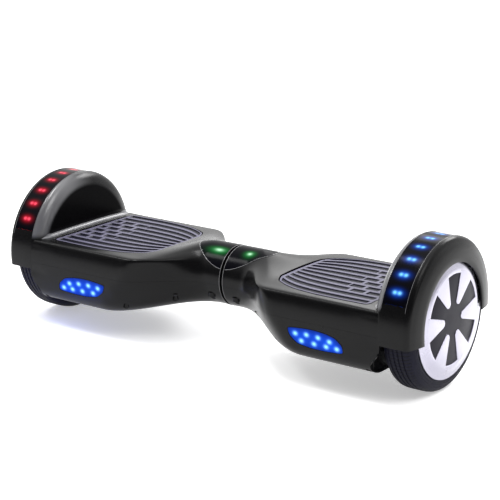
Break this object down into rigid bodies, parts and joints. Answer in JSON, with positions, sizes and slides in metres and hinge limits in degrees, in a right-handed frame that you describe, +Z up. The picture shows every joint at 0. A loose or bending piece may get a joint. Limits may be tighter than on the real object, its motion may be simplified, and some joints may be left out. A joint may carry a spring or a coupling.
{
  "type": "self balancing hoverboard",
  "caption": "Two-wheeled self balancing board: twin foot decks that twist about a centre pivot, hub motor wheels under lit fenders, headlights and status windows.",
  "frame": {"origin": "on the ground under the centre of the board", "axes": "+X along the wheel axles, -Y is the front, +Z up"},
  "size_m": [0.59, 0.186, 0.178],
  "materials": {
    "shell_plastic": "glossy moulded ABS, very dark gunmetal",
    "pad_rubber": "satin ribbed rubber",
    "circuit_board": "solder mask green",
    "strip_lens": "smoked gloss black",
    "headlight_lens": "clear blue tinted plastic",
    "indicator_lens": "smoked gloss black",
    "cast_aluminium": "as cast",
    "zinc_steel": "zinc plated",
    "bearing_steel": "ground",
    "wound_iron": "laminated iron with copper winding",
    "magnet_nickel": "nickel plated",
    "rim_aluminium": "machined",
    "tyre_rubber": "matte moulded rubber",
    "cap_silver": "bright silver lacquer",
    "cap_insert": "satin dark grey",
    "black_steel": "black oxide",
    "cable_sleeve": "matte sleeve",
    "bush_nylon": "natural nylon",
    "battery_wrap": "blue heat-shrink wrap",
    "switch_plastic": "fine matte",
    "button_steel": "brushed",
    "cap_rubber": "soft matte",
    "red_leds": "lit red chips on black tape",
    "blue_leds": "lit blue chips on black tape"
  },
  "bodies": {
    "left_half": {"left_upper_shell": "shell_plastic", "left_lower_shell": "shell_plastic", "left_sensor_board": "circuit_board", "left_fender_lens": "strip_lens", "left_headlight_lens": "headlight_lens", "left_headlight_board": "circuit_board", "left_indicator_lens": "indicator_lens", "left_indicator_board": "circuit_board", "left_frame": "cast_aluminium", "left_axle_clamp": "cast_aluminium", "left_clamp_bolts": "zinc_steel", "left_axle": "bearing_steel", "left_stator": "wound_iron", "left_shell_screws": "black_steel", "left_harness": "cable_sleeve", "left_fender_leds": "red_leds", "centre_tube": "bearing_steel", "centre_lock_ring": "black_steel", "battery_pack": "battery_wrap", "battery_bracket": "zinc_steel", "power_switch": "switch_plastic", "charge_socket": "switch_plastic"},
    "right_half": {"right_upper_shell": "shell_plastic", "right_lower_shell": "shell_plastic", "right_sensor_board": "circuit_board", "right_fender_lens": "strip_lens", "right_headlight_lens": "headlight_lens", "right_headlight_board": "circuit_board", "right_indicator_lens": "indicator_lens", "right_indicator_board": "circuit_board", "right_frame": "cast_aluminium", "right_axle_clamp": "cast_aluminium", "right_clamp_bolts": "zinc_steel", "right_axle": "bearing_steel", "right_stator": "wound_iron", "right_shell_screws": "black_steel", "right_harness": "cable_sleeve", "right_fender_leds": "blue_leds", "centre_bushes": "bush_nylon", "twist_stop_pin": "bearing_steel", "mainboard": "circuit_board"},
    "left_wheel": {"left_magnets": "magnet_nickel", "left_motor_rim": "rim_aluminium", "left_motor_cover": "rim_aluminium", "left_wheel_bearings": "bearing_steel", "left_tyre": "tyre_rubber", "left_hub_cap": "cap_silver", "left_hub_cap_inserts": "cap_insert"},
    "left_pad": {"left_foot_pad": "pad_rubber"},
    "right_wheel": {"right_magnets": "magnet_nickel", "right_motor_rim": "rim_aluminium", "right_motor_cover": "rim_aluminium", "right_wheel_bearings": "bearing_steel", "right_tyre": "tyre_rubber", "right_hub_cap": "cap_silver", "right_hub_cap_inserts": "cap_insert"},
    "right_pad": {"right_foot_pad": "pad_rubber"},
    "power_button": {"power_button": "button_steel"},
    "charge_cap": {"charge_cap": "cap_rubber"}
  },
  "joints": [
    {"name": "body_twist", "type": "hinge", "parent": "left_half", "child": "right_half", "pos_m": [0, 0, 0.085], "axis": [1, 0, 0], "range_deg": [-14, 14]},
    {"name": "left_wheel_spin", "type": "hinge", "parent": "left_half", "child": "left_wheel", "pos_m": [-0.269, 0, 0.085], "axis": [1, 0, 0], "continuous": true},
    {"name": "right_wheel_spin", "type": "hinge", "parent": "right_half", "child": "right_wheel", "pos_m": [0.269, 0, 0.085], "axis": [1, 0, 0], "continuous": true},
    {"name": "left_pad_press", "type": "slide", "parent": "left_half", "child": "left_pad", "axis": [0, 0, -1], "range_m": [0, 0.002], "stiffness_N_per_m": 20000, "springref_m": -0.0005},
    {"name": "right_pad_press", "type": "slide", "parent": "right_half", "child": "right_pad", "axis": [0, 0, -1], "range_m": [0, 0.002], "stiffness_N_per_m": 20000, "springref_m": -0.0005},
    {"name": "power_button_press", "type": "slide", "parent": "left_half", "child": "power_button", "axis": [0, -1, 0], "range_m": [0, 0.0012], "stiffness_N_per_m": 1500, "springref_m": -0.0005},
    {"name": "charge_cap_flap", "type": "hinge", "parent": "left_half", "child": "charge_cap", "pos_m": [-0.126, 0.0921, 0.062], "axis": [0, 0, -1], "range_deg": [0, 105]}
  ]
}
